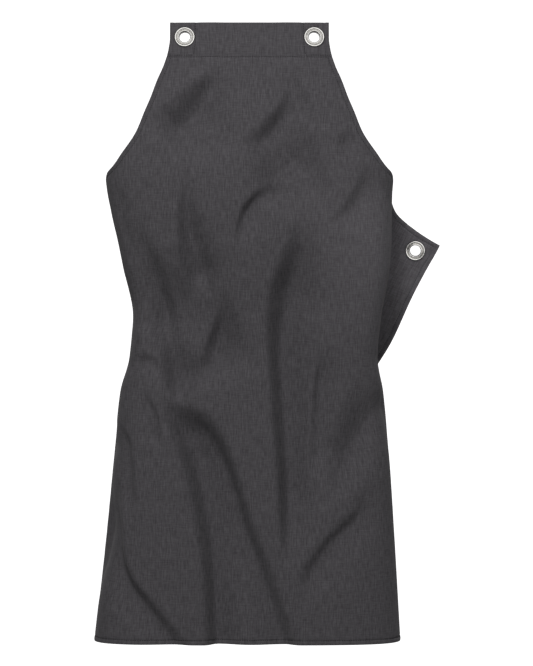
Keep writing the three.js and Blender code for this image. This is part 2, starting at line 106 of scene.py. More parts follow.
# Folds: how far the cloth falls back across a band along a path (a ridge where negative), how soon it
# recovers beyond it, the lean of the fall to the band's start, fades as shares of the path, and path points
# of x, z and half the band
FOLD_COLUMNS = ("name", "fall", "recover", "lean", "fade_in", "fade_out", "path")
FOLDS = [
    ("bib_left_sweep", 22, 50, 0.9, 0.6, 0.3,
     [(-30, -30, 5), (-60, -62, 11), (-86, -88, 18), (-130, -126, 22)]),
    ("bib_left_ridge", -4, 20, 1, 0.3, 0.3, [(-55, -31, 11), (-88, -63, 13), (-120, -101, 13)]),
    ("bib_right_crease", 4, 18, 1, 0.3, 0.3, [(89, -110, 5), (71, -77, 5), (52, -36, 5)]),
    ("bib_centre_sweep", 17, 45, 1, 0.5, 0.4,
     [(51, -59, 5), (43, -86, 7), (29, -108, 10), (11, -127, 12), (-17, -143, 13)]),
    ("bib_under_sweep", 20, 50, 1, 0.4, 0.4, [(88, -120, 20), (37, -154, 23), (-14, -184, 23)]),
    ("bib_right_nick", 5, 14, 1, 0.4, 0.4, [(131, -119, 5), (109, -145, 5)]),
    ("crescent", 11, 30, 0.9, 0.5, 0.4,
     [(70, -189, 9), (33, -196, 8), (11, -203, 6), (-3, -217, 5), (-12, -238, 5), (-18, -279, 5)]),
    ("waist_left_hollow", 22, 80, 1, 0.5, 0.3, [(-4, -307, 43), (-150, -315, 48)]),
    ("chest_left", 19, 20, 0.8, 0.6, 0.25,
     [(-77, -170, 4), (-86, -216, 6), (-85, -254, 9), (-80, -286, 12), (-70, -318, 13), (-62, -344, 12)]),
    ("side_left", 14, 18, 1, 0.3, 0.5,
     [(-100, -408, 11), (-104, -369, 14), (-113, -331, 14), (-119, -292, 13), (-132, -255, 9),
      (-141, -225, 6)]),
    ("edge_crease", 3, 10, 1, 0.3, 0.3,
     [(-174, -179, 4), (-166, -238, 4), (-156, -273, 4), (-150, -318, 4)]),
    ("centre_drop", 28, 34, 0.9, 0.25, 0.25,
     [(68, -217, 5), (53, -276, 13), (40, -318, 16), (34, -350, 15), (31, -382, 12), (33, -426, 10),
      (37, -490, 10), (42, -567, 9), (44, -630, 8), (42, -694, 6)]),
    ("waist_left_wedge", 23, 30, 0.8, 0.55, 0.45,
     [(-30, -325, 4), (-42, -372, 8), (-52, -408, 12), (-58, -432, 14), (-64, -458, 14)]),
    ("long_sweep", 20, 34, 1.2, 0.05, 0.3,
     [(65, -803, 10), (39, -726, 10), (19, -671, 10), (3, -630, 9), (-11, -586, 8), (-25, -544, 8),
      (-39, -512, 10), (-55, -490, 12), (-76, -468, 13), (-94, -450, 12)]),
    ("hip_drop", 20, 40, 0.9, 0.65, 0.35,
     [(-112, -372, 5), (-110, -400, 7), (-106, -430, 8), (-97, -458, 8), (-82, -476, 7)]),
    ("left_drop", 27, 30, 1.3, 0.2, 0.03,
     [(-119, -455, 6), (-99, -503, 10), (-83, -541, 11), (-71, -586, 11), (-60, -643, 11),
      (-54, -694, 10), (-49, -803, 9)]),
    ("hip_crease", 7, 10, 1, 0.3, 0.35, [(-113, -536, 4), (-119, -485, 4), (-137, -449, 4)]),
    ("left_edge_drop", 8, 18, 1, 0.3, 0.3,
     [(-148, -618, 5), (-151, -560, 5), (-156, -516, 5), (-170, -488, 5)]),
    ("left_hem_swing", 14, 24, 1, 0.05, 0.3,
     [(-69, -796, 10), (-127, -725, 9), (-153, -694, 8), (-167, -650, 8), (-171, -554, 6)]),
    ("right_drop", 13, 22, 1, 0.3, 0.3, [(91, -388, 6), (85, -458, 6), (82, -516, 8), (79, -582, 8)]),
    ("hip_shelf", 23, 22, 1, 0.5, 0.4,
     [(178, -425, 22), (149, -453, 28), (120, -501, 25), (99, -567, 16), (92, -605, 8)]),
    ("right_hem_swing", 11, 26, 1, 0.35, 0.35,
     [(151, -564, 6), (136, -608, 8), (112, -632, 8), (90, -656, 8), (71, -688, 8), (57, -735, 8)]),
    ("hip_arch", 6, 14, 0.9, 0.4, 0.4,
     [(-111, -447, 5), (-123, -415, 6), (-142, -411, 6), (-162, -437, 5)]),
    ("chest_right", 8, 30, 1, 0.4, 0.4, [(154, -154, 8), (133, -207, 9), (95, -243, 10)]),
]

# How far from the silhouette the folds fade, the least share of the recovery at a fold's ends, steps between
# the points of a path, and the reach round a path in which its fold is worked out
FOLD_EDGE_FADE = 24.0
LEAST_RECOVERY = 0.3
FOLD_PATH_STEPS = 10
FOLD_MARGIN = 220.0

# Mesh of the cloth: inner columns, close rows along hems and seams, and rows that are straight at the top,
# fan out to the waist corners and level out down the skirt
INNER_COLUMNS = 176
FRONT_SHARE = 0.85
HEM_ZONE = 13.0
HEM_OFFSETS = (0, 0.7, 2.2, 4.2, 5.2, 5.8, 6.4, 7.0, 8.2, 10.4)
TOP_OFFSETS = (0, 0.7, 2.2)
SEAM_OFFSETS = (-2.4, -1.0, -0.5, 0, 0.5, 1.0, 2.4)
SEAM_CLEARANCE = 3.0
STRAIGHT_DEPTH = 50.0
STRAIGHT_STEP = 4.2
CORNER_CENTRE = 360.0
FAN_ROWS = 86
FAN_START_ROWS = 12
MITRE_REACH = 60.0
SKIRT_ROWS = 128
OUTLINE_STEP = 0.25
SLANT_STEP = 0.5
LEAST_SLANT = 0.01

# Hems: the seam line's distance in from the edge, and how far the sewn cloth swells and dips
HEM_SEAM = 5.8
HEM_SWELL = 0.35
SWELL_RISE = 1.5
SWELL_FALL = 2.0
SEAM_DIP = 0.7
SEAM_DIP_REACH = 1.1
SQUARE_DIP_REACH = 1.6

# Eyelets: flat place of each centre, and how many cloth layers it clamps
EYELET_COLUMNS = ("name", "u", "v", "layers")
EYELETS = [
    ("top_left", -83, 19, 3),
    ("top_right", 83, 19, 3),
    ("waist_left", -338, 263, 1),
    ("waist_right", 338, 263, 1),
]
HOLE_RADIUS = 7.0
BARREL_RADIUS = 7.6
FLANGE_RADIUS = 13.5
ROLL_RADIUS = 9.6
ROLL_THICKNESS = 0.8
ROLL_BEVEL = 0.5
WASHER_INNER = 7.9
WASHER_OUTER = 12.5
WASHER_THICKNESS = 0.8
WASHER_BEVEL = 0.25
CUT_RADIUS = 8.5
SEAT_FLAT = 30.0
SEAT_BLEND = 58.0
RING_SIDES = 72
PROFILE_STEPS = 4

# Front of an eyelet: heights at distances in from the flange's rim, then at distances out from the hole
FLANGE_CURVE = [
    (0, GAP), (0.1, 1.1), (0.5, 1.8), (1.2, 2.2), (2.1, 2.2), (2.7, 1.9), (3.1, 1.2), (3.4, 0.45),
    (3.8, 0.45),
]
COLLAR_CURVE = [(2.4, 1.3), (2.0, 1.8), (1.1, 1.9), (0.4, 1.4), (0, 0.2)]

# Stitches: one thread's spacing, length and width, how far it narrows and how deep its ends go into the cloth
STITCH_PITCH = 3.0
STITCH_LENGTH = 2.3
STITCH_WIDTH = 0.9
STITCH_TAPER = 0.9
STITCH_SINK = 0.3
STITCH_SIDES = 6
STITCH_RINGS = 5

# Looks: linear colours, repeats per metre of the yarns' slubs across and down and of the finer grains, the
# weft's share in the weave and the range of the weave's noise that goes from dark to light
CLOTH_DARK = (0.037, 0.035, 0.038)
CLOTH_LIGHT = (0.079, 0.075, 0.081)
THREAD_DARK = (0.010, 0.010, 0.011)
THREAD_LIGHT = (0.026, 0.025, 0.027)
METAL_COLOUR = (0.62, 0.61, 0.59)
WEFT_SLUBS = (90, 620)
WARP_SLUBS = (620, 70)
THREAD_GRAIN = 1800
METAL_GRAIN = 900
WEFT_SHARE = 0.6
WEAVE_LOW = 0.5
WEAVE_HIGH = 1.1

# Studio: sizes in metres, glow and colours of the floor, the surround and the white panels
FLOOR_SIZE = 12.0
FLOOR_HEIGHT = -2.3
FLOOR_GLOW = 0.2
FLOOR_COLOUR = (0.82, 0.82, 0.81)
SURROUND_RADIUS = 9.0
SURROUND_GLOW = 1.15
STUDIO_WHITE = (0.9, 0.9, 0.9)


def rows_of(table, columns):
    """Rows of a table, each with its columns' names."""
    return [dict(zip(columns, row)) for row in table]


def smooth(value):
    """Soft step from 0 to 1."""
    t = np.clip(value, 0, 1)
    return t * t * (3 - 2 * t)


def curve_through(places, values):
    """Smooth curve through points with rising places, which never overshoots between them."""
    places = np.array(places, float)
    values = np.array(values, float)
    step = np.diff(places)
    rate = np.diff(values) / step
    before = step[:-1] + 2 * step[1:]
    after = 2 * step[:-1] + step[1:]
    rises = rate[:-1] * rate[1:] > 0
    left = np.where(rises, rate[:-1], 1)
    right = np.where(rises, rate[1:], 1)
    inner = np.where(rises, (before + after) / (before / left + after / right), 0)
    slope = np.concatenate([rate[:1], inner, rate[-1:]])

    def at(place):
        place = np.asarray(place, float)
        i = np.clip(np.searchsorted(places, place) - 1, 0, len(step) - 1)
        t = np.clip((place - places[i]) / step[i], 0, 1)
        s = 1 - t
        start = (1 + 2 * t) * s * s * values[i] + t * s * s * step[i] * slope[i]
        end = t * t * (3 - 2 * t) * values[i + 1] - t * t * s * step[i] * slope[i + 1]
        return start + end

    return at


def section_curves():
    """Smooth curve down the apron for each column of the sections."""
    rows = rows_of(SECTIONS, SECTION_COLUMNS)[::-1]
    places = [row["z"] for row in rows]
    return {name: curve_through(places, [row[name] for row in rows]) for name in SECTION_COLUMNS}


def plan_tables(curves, right):
    """x, y, drop and silhouette of the smooth worn cloth, for each millimetre down and each across."""
    steps = np.arange(PLAN_REACH)
    angle = np.linspace(0, math.pi / 2, QUARTER_STEPS + 1)
    tables = []
    for v in np.arange(-ROW_MARGIN, LENGTH + ROW_MARGIN + 1):
        at = {name: float(curve(TOP_EDGE - v)) for name, curve in curves.items()}
        width = at["right"] if right else at["left"]
        x = width * np.sin(angle) ** (2 / SQUARENESS)
        y = at["side"] - (at["side"] - at["front"]) * np.maximum(np.cos(angle), 0) ** (2 / SQUARENESS)
        s = np.concatenate([[0], np.cumsum(np.hypot(np.diff(x), np.diff(y)))])
        curl = math.radians(at["curl_right"] if right else at["curl_left"])
        flare = math.radians(at["flare"]) if right else 0
        rear_reach = max(HALF_WIDTH - s[-1], LEAST_REAR)
        curled = curl * np.minimum(steps / rear_reach, MOST_CURL)
        turned = curled - flare * smooth((steps - at["start"]) / FLARE_TURN)
        past = steps + 1 - at["start"]
        drop = at["drop"] * past * smooth(past / DROP_TURN) if right else 0 * past
        all_s = np.concatenate([s, s[-1] + steps + 1])
        all_x = np.concatenate([x, x[-1] - np.cumsum(np.sin(turned))])
        all_y = np.concatenate([y, y[-1] + np.cumsum(np.cos(turned))])
        all_drop = np.concatenate([0 * s, drop])
        row = [np.interp(steps, all_s, one) for one in (all_x, all_y, all_drop)]
        tables.append(row + [np.full(PLAN_REACH, s[-1])])
    return np.array(tables)


curves = section_curves()
plans = {True: plan_tables(curves, True), False: plan_tables(curves, False)}


def lookup(u, v):
    """x, y, drop and the silhouette's place along the row, at flat places."""
    u, v = np.broadcast_arrays(np.asarray(u, float), np.asarray(v, float))
    across = np.clip(np.abs(u), 0, PLAN_REACH - 1 - TABLE_END)
    down = np.clip(v + ROW_MARGIN, 0, LENGTH + 2 * ROW_MARGIN - TABLE_END)
    column = across.astype(int)
    row = down.astype(int)
    column_share = (across - column)[..., None]
    row_share = (down - row)[..., None]
    found = np.empty(u.shape + (4,))
    for right, table in plans.items():
        side = (u >= 0) == right
        i, j = row[side], column[side]
        a, b = row_share[side], column_share[side]
        top = table[i, :, j] * (1 - b) + table[i, :, j + 1] * b
        low = table[i + 1, :, j] * (1 - b) + table[i + 1, :, j + 1] * b
        found[side] = top * (1 - a) + low * a
    found[..., 0] *= np.where(u < 0, -1, 1)
    return found


def worn_point(u, v):
    """Place of the smooth worn cloth, before its folds."""
    found = lookup(u, v)
    return np.stack([found[..., 0], found[..., 1], TOP_EDGE - np.asarray(v, float) - found[..., 2]], -1)


def unit(vectors):
    return vectors / np.linalg.norm(vectors, axis=-1, keepdims=True)


def worn_normal(u, v):
    """Way out of the smooth worn cloth, on its outer face."""
    across = worn_point(u + NORMAL_STEP, v) - worn_point(u - NORMAL_STEP, v)
    down = worn_point(u, v + NORMAL_STEP) - worn_point(u, v - NORMAL_STEP)
    return unit(np.cross(down, across))


def path_through(points, steps):
    """Catmull-Rom path with the given steps between points, ends included."""
    points = np.array(points, float)
    padded = np.concatenate([2 * points[:1] - points[1:2], points, 2 * points[-1:] - points[-2:-1]])
    t = np.linspace(0, 1, steps, endpoint=False)[:, None]
    parts = []
    for a, b, c, d in zip(padded[:-3], padded[1:-2], padded[2:-1], padded[3:]):
        bend = 2 * a - 5 * b + 4 * c - d
        twist = 3 * b - a - 3 * c + d
        parts.append(0.5 * (2 * b + (c - a) * t + bend * t ** 2 + twist * t ** 3))
    return np.concatenate(parts + [points[-1:]])


def fold_fall(fold, x, z):
    """How far one fold sets the cloth back at places x, z on the front."""
    path = path_through(fold["path"], FOLD_PATH_STEPS)
    seg = np.diff(path[:, :2], axis=0)
    lengths = np.concatenate([[0], np.cumsum(np.hypot(*seg.T))])
    nearest = np.full(x.shape, np.inf)
    offset = np.zeros(x.shape)
    share = np.zeros(x.shape)
    band = np.ones(x.shape)
    for i, (dx, dz) in enumerate(seg):
        ax, az, wide = path[i]
        t = np.clip(((x - ax) * dx + (z - az) * dz) / (dx * dx + dz * dz), 0, 1)
        distance = np.hypot(x - ax - t * dx, z - az - t * dz)
        closer = distance < nearest
        nearest = np.where(closer, distance, nearest)
        turned = np.where(dx * (z - az) - dz * (x - ax) >= 0, distance, -distance)
        offset = np.where(closer, turned, offset)
        share = np.where(closer, (lengths[i] + t * (lengths[i + 1] - lengths[i])) / lengths[-1], share)
        band = np.where(closer, wide + t * (path[i + 1, 2] - wide), band)
    fades = smooth(share / fold["fade_in"]) * smooth((1 - share) / fold["fade_out"])
    recover = fold["recover"] * (LEAST_RECOVERY + (1 - LEAST_RECOVERY) * fades)
    beyond = np.maximum(offset - band, 0) / recover
    across = np.clip((offset + band) / (2 * band), 0, 1) ** fold["lean"]
    return fold["fall"] * fades * smooth(across) * np.exp(-beyond ** 2)


def all_falls(x, z):
    """How far all the folds together set the cloth back."""
    total = np.zeros(x.shape)
    for fold in rows_of(FOLDS, FOLD_COLUMNS):
        path = np.array(fold["path"], float)
        low = path[:, :2].min(0) - FOLD_MARGIN
        high = path[:, :2].max(0) + FOLD_MARGIN
        near = (x > low[0]) & (x < high[0]) & (z > low[1]) & (z < high[1])
        total[near] += fold_fall(fold, x[near], z[near])
    return total


def eyelet_seats():
    """Centre and axis of each eyelet on the worn cloth."""
    seats = []
    for eyelet in rows_of(EYELETS, EYELET_COLUMNS):
        u, v = np.array(float(eyelet["u"])), np.array(float(eyelet["v"]))
        seats.append({**eyelet, "centre": worn_point(u, v), "normal": worn_normal(u, v)})
    return seats


seats = eyelet_seats()


def cloth_points(u, v):
    """Worn cloth with its folds, flat under the eyelets."""
    points = worn_point(u, v)
    fade = smooth((lookup(u, v)[..., 3] - np.abs(u)) / FOLD_EDGE_FADE)
    front = fade > 0
    falls = np.zeros(u.shape)
    falls[front] = all_falls(points[front][:, 0], points[front][:, 2])
    points = points - worn_normal(u, v) * (falls * fade)[..., None]
    for seat in seats:
        away = np.hypot(u - seat["u"], v - seat["v"])
        hold = 1 - smooth((away - SEAT_FLAT) / (SEAT_BLEND - SEAT_FLAT))
        height = (points - seat["centre"]) @ seat["normal"]
        points = points - seat["normal"] * (height * hold)[..., None]
    return points


def outline_edge():
    """Right edge of the cut: its curve, then v, half width and length along it down to the waist corner."""
    rows = rows_of(OUTLINE, OUTLINE_COLUMNS)
    curve = curve_through([row["v"] for row in rows], [row["half"] for row in rows])
    v = np.arange(STRAIGHT_DEPTH, CORNER_V + OUTLINE_STEP / 2, OUTLINE_STEP)
    half = curve(v)
    length = np.concatenate([[0], np.cumsum(np.hypot(np.diff(v), np.diff(half)))])
    return curve, v, half, length


def flat_grid():
    """Flat places of the cloth's mesh, the number of straight top rows and the row at the waist corners."""
    curve, edge_v, _, edge_length = outline_edge()
    plain = np.arange(STRAIGHT_STEP, STRAIGHT_DEPTH, STRAIGHT_STEP)
    plain = plain[np.abs(plain - FACING_DEPTH) > SEAM_CLEARANCE]
    straight = np.unique(np.concatenate([TOP_OFFSETS, plain, FACING_DEPTH + np.array(SEAM_OFFSETS)]))
    fan = np.linspace(0, 1, FAN_ROWS + 1)
    fan_v = np.interp(fan * edge_length[-1], edge_length, edge_v)
    fan_centre = STRAIGHT_DEPTH + fan * (CORNER_CENTRE - STRAIGHT_DEPTH)
    hem = LENGTH - np.array(HEM_OFFSETS[::-1])
    skirt = np.linspace(0, 1, SKIRT_ROWS + 1)[1:-1]
    skirt_edge = CORNER_V + skirt * (hem[0] - CORNER_V)
    skirt_centre = CORNER_CENTRE + skirt * (hem[0] - CORNER_CENTRE)
    v_edge = np.concatenate([straight, fan_v, skirt_edge, hem])
    v_centre = np.concatenate([straight, fan_centre, skirt_centre, hem])
    half = np.where(v_edge < CORNER_V, curve(v_edge), HALF_WIDTH)

    # Way in from the cut edge at each row, square to the edge and mitred at the waist corner
    rise = (curve(v_edge + SLANT_STEP) - curve(v_edge - SLANT_STEP)) / (2 * SLANT_STEP)
    slant = np.where(v_edge < CORNER_V, rise, 0)
    slant *= smooth((np.arange(len(slant)) - len(straight)) / FAN_START_ROWS)
    inward_u = 1 / np.hypot(1, slant)
    inward_v = slant * inward_u
    corner = len(straight) + FAN_ROWS
    above = corner - 1
    inward_u[corner:] = 1
    mitre = (1 - inward_u[above]) / max(inward_v[above], LEAST_SLANT)
    arm = slice(len(straight), corner)
    turned = smooth(1 - (1 - fan[:-1]) * edge_length[-1] / MITRE_REACH)
    inward_u[arm] += turned * (1 - inward_u[arm])
    inward_v[arm] += turned * (mitre - inward_v[arm])
    below = np.arange(len(v_edge) - corner) / (len(v_edge) - corner - 1)
    inward_v[corner:] = mitre * (1 - below)

    # Inner columns, closest at the front's middle, and the columns of the hems
    q = np.linspace(-1, 1, INNER_COLUMNS + 1)
    s = FRONT_SHARE * q + (1 - FRONT_SHARE) * q ** 3
    inner_u = half - HEM_ZONE * inward_u
    inner_v = v_edge + HEM_ZONE * inward_v
    u = inner_u[:, None] * s
    bend = s ** 2
    v = v_centre[:, None] * (1 - bend) + inner_v[:, None] * bend
    offsets = np.array(HEM_OFFSETS)
    zone_u = half[:, None] - offsets * inward_u[:, None]
    zone_v = v_edge[:, None] + offsets * inward_v[:, None]
    u = np.concatenate([-zone_u, u, zone_u[:, ::-1]], 1)
    v = np.concatenate([zone_v, v, zone_v[:, ::-1]], 1)
    return u, np.minimum(v, LENGTH), len(straight), corner


def grid_normals(points):
    """Ways out of the mesh at its points."""
    down = np.gradient(points, axis=0)
    across = np.gradient(points, axis=1)
    return unit(np.cross(down, across))


def open_holes(u, v):
    """Draws the mesh in to a round hole at each eyelet, and says which cells stay."""
    kept = np.ones((u.shape[0] - 1, u.shape[1] - 1), bool)
    for eyelet in rows_of(EYELETS, EYELET_COLUMNS):
        aside, below = u - eyelet["u"], v - eyelet["v"]
        away = np.hypot(aside, below)
        inside = away < CUT_RADIUS
        hole = inside[:-1, :-1] | inside[1:, :-1] | inside[1:, 1:] | inside[:-1, 1:]
        rim = np.zeros(u.shape, bool)
        for part in ((slice(0, -1), slice(0, -1)), (slice(1, None), slice(0, -1)),
                     (slice(1, None), slice(1, None)), (slice(0, -1), slice(1, None))):
            rim[part] |= hole
        rim &= ~inside
        u[rim] = eyelet["u"] + aside[rim] * CUT_RADIUS / away[rim]
        v[rim] = eyelet["v"] + below[rim] * CUT_RADIUS / away[rim]
        kept &= ~hole
    return kept


flat_u, flat_v, straight_rows, corner_row = flat_grid()
kept_cells = open_holes(flat_u, flat_v)


def hem_relief(distance):
    """Height of the sewn hem at a distance in from its edge."""
    swell = HEM_SWELL * smooth(distance / SWELL_RISE) * smooth((HEM_SEAM - distance) / SWELL_FALL)
    return swell - SEAM_DIP * np.exp(-((distance - HEM_SEAM) / SEAM_DIP_REACH) ** 2)


def sewn(points):
    """Swells the turned edges and draws the cloth in along the seam lines."""
    zone = len(HEM_OFFSETS)
    hem = hem_relief(np.array(HEM_OFFSETS))
    relief = np.zeros(points.shape[:2])
    relief[:, :zone] += hem
    relief[:, -zone:] += hem[::-1]
    relief[-zone:] += hem[::-1][:, None]
    top = np.arange(straight_rows)
    depth = flat_v[top, flat_v.shape[1] // 2]
    relief[top] -= (SEAM_DIP * np.exp(-((depth - FACING_DEPTH) / SEAM_DIP_REACH) ** 2))[:, None]
    square = np.abs(np.abs(flat_u[top]) - (flat_u[0, -1] - PATCH_WIDTH))
    relief[top] -= SEAM_DIP * np.exp(-(square / SQUARE_DIP_REACH) ** 2) * (depth < FACING_DEPTH)[:, None]
    return points + grid_normals(points) * relief[..., None]


cloth = sewn(cloth_points(flat_u, flat_v))
normals = grid_normals(cloth)


def add_object(name, data):
    obj = bpy.data.objects.new(name, data)
    bpy.context.collection.objects.link(obj)
    return obj


def new_object(name, points, faces, material, uv=None):
    """Smooth shaded piece from points in millimetres, with its flat places where it is cloth."""
    mesh = bpy.data.meshes.new(name)
    mesh.from_pydata((np.asarray(points) * MM).tolist(), [], faces)
    mesh.materials.append(material)
    if uv is not None:
        layer = mesh.uv_layers.new(name="cut")
        corner_vertex = np.empty(len(mesh.loops), int)
        mesh.loops.foreach_get("vertex_index", corner_vertex)
        layer.data.foreach_set("uv", (np.asarray(uv)[corner_vertex] * MM).ravel())
    mesh.polygons.foreach_set("use_smooth", [True] * len(mesh.polygons))
    mesh.update()
    return add_object(name, mesh)


def wall(name, rows, columns, near, far, material):
    """Closed wall over a block of the cloth's mesh, between two depths behind its front face."""
    block = (slice(rows[0], rows[1] + 1), slice(columns[0], columns[1] + 1))
    front = cloth[block] - near * normals[block]
    back = cloth[block] - far * normals[block]
    index = np.arange(front[..., 0].size).reshape(front.shape[:2])
    other = index + index.size
    kept = np.pad(kept_cells[rows[0]:rows[1], columns[0]:columns[1]], 1)
    inside = kept[1:-1, 1:-1]

    def quads(where, a, b, c, d):
        return np.stack([one[where] for one in (a, b, c, d)], -1)

    def corners(grid):
        return grid[:-1, :-1], grid[1:, :-1], grid[1:, 1:], grid[:-1, 1:]

    nw, sw, se, ne = corners(index)
    nw_back, sw_back, se_back, ne_back = corners(other)
    faces = np.concatenate([
        quads(inside, nw, sw, se, ne),
        quads(inside, nw_back, ne_back, se_back, sw_back),
        quads(inside & ~kept[:-2, 1:-1], nw, ne, ne_back, nw_back),
        quads(inside & ~kept[2:, 1:-1], se, sw, sw_back, se_back),
        quads(inside & ~kept[1:-1, :-2], sw, nw, nw_back, sw_back),
        quads(inside & ~kept[1:-1, 2:], ne, se, se_back, ne_back),
    ])
    used, faces = np.unique(faces, return_inverse=True)
    points = np.concatenate([front.reshape(-1, 3), back.reshape(-1, 3)])
    flat = np.stack([flat_u[block], flat_v[block]], -1).reshape(-1, 2)
    flat = np.concatenate([flat, flat])
    return new_object(name, points[used], faces.reshape(-1, 4).tolist(), material, flat[used])


def ring(name, profile, seat, material):
    """Turned ring round an eyelet's axis; the profile holds radius and height points."""
    profile = np.array(profile)
    turn = np.linspace(0, 2 * math.pi, RING_SIDES, endpoint=False)
    normal = seat["normal"]
    side = unit(np.cross(normal, (0, 0, 1)))
    up = np.cross(side, normal)
    around = np.cos(turn)[:, None] * side + np.sin(turn)[:, None] * up
    points = seat["centre"] + around[:, None] * profile[None, :, :1] + normal * profile[None, :, 1:]
    count = len(profile)
    faces = []
    for i in range(RING_SIDES):
        j = (i + 1) % RING_SIDES
        for k in range(count):
            m = (k + 1) % count
            faces.append((i * count + k, j * count + k, j * count + m, i * count + m))
    return new_object(name, points.reshape(-1, 3), faces, material)


def clamped_depth(seat):
    """Depth of the cloth layers that an eyelet clamps."""
    return seat["layers"] * CLOTH + (seat["layers"] - 1) * GAP


def eyelet_profile(seat):
    """Rounded flange and collar in front, barrel, and the roll behind the washer."""
    roll_front = -(clamped_depth(seat) + 2 * GAP + WASHER_THICKNESS)
    roll_back = roll_front - ROLL_THICKNESS
    flange = [(FLANGE_RADIUS - inward, height) for inward, height in FLANGE_CURVE]
    collar = [(HOLE_RADIUS + outward, height) for outward, height in COLLAR_CURVE]
    front = path_through(flange + collar, PROFILE_STEPS)
    back = [
        (HOLE_RADIUS, roll_front), (HOLE_RADIUS + ROLL_BEVEL, roll_back), (ROLL_RADIUS, roll_back),
        (ROLL_RADIUS, roll_front), (BARREL_RADIUS, roll_front), (BARREL_RADIUS, GAP),
    ]
    return np.concatenate([front, back])[::-1]


def washer_profile(seat):
    """Flat ring behind the cloth, bevelled at the back."""
    front = -(clamped_depth(seat) + GAP)
    back = front - WASHER_THICKNESS
    return [
        (WASHER_OUTER, front), (WASHER_OUTER, back + WASHER_BEVEL), (WASHER_OUTER - WASHER_BEVEL, back),
        (WASHER_INNER + WASHER_BEVEL, back), (WASHER_INNER, back + WASHER_BEVEL), (WASHER_INNER, front),
    ]


def stitches(name, lines, material):
    """Short threads along seam lines; each line holds points and the way out of the cloth at them."""
    turn = np.linspace(0, 2 * math.pi, STITCH_SIDES, endpoint=False)
    along = np.linspace(-1, 1, STITCH_RINGS)
    radius = STITCH_WIDTH / 2 * np.sqrt(1 - STITCH_TAPER * along ** 2)
    height = -STITCH_SINK * along ** 4
    points = []
    for line, outward in lines:
        run = np.concatenate([[0], np.cumsum(np.linalg.norm(np.diff(line, axis=0), axis=1))])
        centres = np.arange(STITCH_PITCH / 2, run[-1] - STITCH_PITCH / 2, STITCH_PITCH)
        stops = centres[:, None] + along * STITCH_LENGTH / 2
        middle = np.stack([np.interp(stops, run, line[:, k]) for k in range(3)], -1)
        lift = unit(np.stack([np.interp(stops, run, outward[:, k]) for k in range(3)], -1))
        ahead = unit(np.gradient(middle, axis=1))
        aside = unit(np.cross(ahead, lift))
        middle = middle + lift * height[:, None]
        ring_points = (np.cos(turn)[:, None] * aside[:, :, None] + np.sin(turn)[:, None] * lift[:, :, None])
        points.append((middle[:, :, None] + ring_points * radius[:, None, None]).reshape(-1, 3))
    points = np.concatenate(points)
    faces = []
    for first in range(0, len(points), STITCH_SIDES * STITCH_RINGS):
        for k in range(STITCH_RINGS - 1):
            low = first + k * STITCH_SIDES
            for i in range(STITCH_SIDES):
                j = (i + 1) % STITCH_SIDES
                faces.append((low + i, low + j, low + STITCH_SIDES + j, low + STITCH_SIDES + i))
        last = first + STITCH_SIDES * (STITCH_RINGS - 1)
        faces.append(tuple(range(first + STITCH_SIDES - 1, first - 1, -1)))
        faces.append(tuple(range(last, last + STITCH_SIDES)))
    return new_object(name, points, faces, material)


def set_inputs(node, values):
    for name, value in values.items():
        node.inputs[name].default_value = value


def shader(name, values):
    """New material with these values on its surface shader."""
    material = bpy.data.materials.new(name)
    material.use_nodes = True
    nodes = material.node_tree.nodes
    bsdf = nodes["Principled BSDF"]
    set_inputs(bsdf, values)
    return material, nodes, material.node_tree.links, bsdf


def streaks(nodes, links, source, scale, name):
    """Noise drawn out along the yarns: scale is repeats per metre across and down."""
    mapping = nodes.new("ShaderNodeMapping")
    set_inputs(mapping, {"Scale": (*scale, 1)})
    noise = nodes.new("ShaderNodeTexNoise")
    noise.label = name
    set_inputs(noise, {"Scale": 1, "Detail": 2, "Roughness": 0.6})
    links.new(source, mapping.inputs["Vector"])
    links.new(mapping.outputs["Vector"], noise.inputs["Vector"])
    return noise.outputs["Fac"]


def grain(nodes, links, scale):
    """Fine noise fixed to the piece."""
    coords = nodes.new("ShaderNodeTexCoord")
    noise = nodes.new("ShaderNodeTexNoise")
    set_inputs(noise, {"Scale": scale})
    links.new(coords.outputs["Object"], noise.inputs["Vector"])
    return noise.outputs["Fac"]


def blended(nodes, links, kind, first, second):
    """Sum or product of two values, each a number or another node's output."""
    node = nodes.new("ShaderNodeMath")
    node.operation = kind
    for socket, value in zip(node.inputs, (first, second)):
        if isinstance(value, (int, float)):
            socket.default_value = value
        else:
            links.new(value, socket)
    return node.outputs["Value"]


def between(nodes, links, factor, dark, light):
    """Colour that goes from a dark to a light shade with the factor."""
    mix = nodes.new("ShaderNodeMix")
    mix.data_type = "RGBA"
    set_inputs(mix, {"A": (*dark, 1), "B": (*light, 1)})
    links.new(factor, mix.inputs["Factor"])
    return mix.outputs["Result"]


def cloth_material(name):
    """Plain weave with slubs along both yarns."""
    surface = {"Roughness": 0.85, "Specular IOR Level": 0.04, "Sheen Weight": 0.03, "Sheen Roughness": 0.6}
    material, nodes, links, bsdf = shader(name, surface)
    coords = nodes.new("ShaderNodeUVMap")
    coords.uv_map = "cut"
    weft = streaks(nodes, links, coords.outputs["UV"], WEFT_SLUBS, "weft slubs")
    warp = streaks(nodes, links, coords.outputs["UV"], WARP_SLUBS, "warp slubs")
    weft = blended(nodes, links, "MULTIPLY", weft, WEFT_SHARE)
    weave = blended(nodes, links, "ADD", weft, warp)
    ramp = nodes.new("ShaderNodeMapRange")
    set_inputs(ramp, {"From Min": WEAVE_LOW, "From Max": WEAVE_HIGH})
    links.new(weave, ramp.inputs["Value"])
    colour = between(nodes, links, ramp.outputs["Result"], CLOTH_DARK, CLOTH_LIGHT)
    links.new(colour, bsdf.inputs["Base Color"])
    bump = nodes.new("ShaderNodeBump")
    set_inputs(bump, {"Strength": 0.35, "Distance": 0.0004})
    links.new(weave, bump.inputs["Height"])
    links.new(bump.outputs["Normal"], bsdf.inputs["Normal"])
    return material


